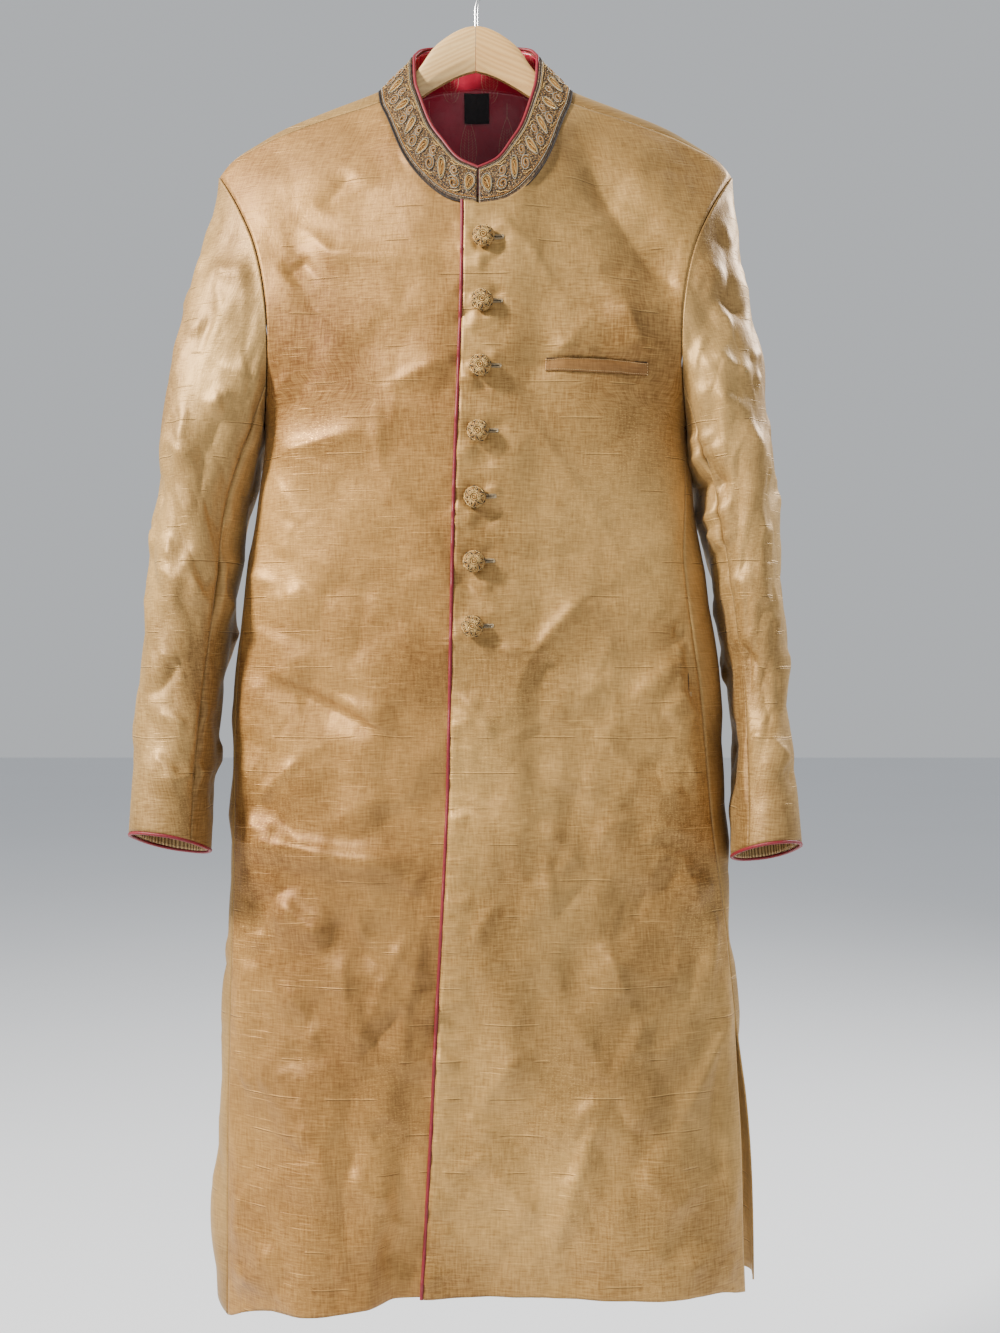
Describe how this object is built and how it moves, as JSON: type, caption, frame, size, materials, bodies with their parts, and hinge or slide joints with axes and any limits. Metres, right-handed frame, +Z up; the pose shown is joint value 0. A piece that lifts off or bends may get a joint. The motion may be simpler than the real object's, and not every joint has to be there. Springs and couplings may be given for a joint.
{
  "type": "sherwani coat on a wooden hanger",
  "caption": "Long buttoned South Asian coat with an embroidered stand collar, piped edges and open cuffs, hanging on a contoured wooden hanger with a steel hook",
  "frame": {"origin": "inside the top of the steel hook, where a rail carries the hanger", "axes": "+Z up; the coat's front faces -Y; +X is the wearer's left"},
  "size_m": [0.6328, 0.2112, 1.322],
  "materials": {
    "shell_silk": "gold raw silk with slubs across it and a soft sheen",
    "cuff_facing": "gold cloth turned back inside the cuff",
    "piping": "crimson cord piping",
    "embroidery": "dark ground under gold, silver and ochre thread and beads",
    "lining_satin": "crimson satin with thin pale leaf outlines",
    "label": "bare black woven label",
    "welt_silk": "browner silk of the same weave",
    "button_thread": "ball worked over in ochre, silver and black thread",
    "hanger_wood": "pale clear-lacquered wood",
    "hook_steel": "thin plated steel wire"
  },
  "bodies": {
    "root": {"front_left": "shell_silk", "front_right": "shell_silk", "back": "shell_silk", "sleeve_left_top": "shell_silk", "sleeve_left_under": "shell_silk", "sleeve_right_top": "shell_silk", "sleeve_right_under": "shell_silk", "cuff_lining_left": "cuff_facing", "cuff_lining_right": "cuff_facing", "cuff_piping_left": "piping", "cuff_piping_right": "piping", "collar": "embroidery", "collar_lining": "lining_satin", "collar_piping": "piping", "front_piping": "piping", "neck_lining": "lining_satin", "neck_label": "label", "chest_welt": "welt_silk", "button_1": "button_thread", "button_2": "button_thread", "button_3": "button_thread", "button_4": "button_thread", "button_5": "button_thread", "button_6": "button_thread", "button_7": "button_thread", "hanger_arm_left": "hanger_wood", "hanger_arm_right": "hanger_wood", "hanger_hook": "hook_steel"}
  },
  "joints": []
}
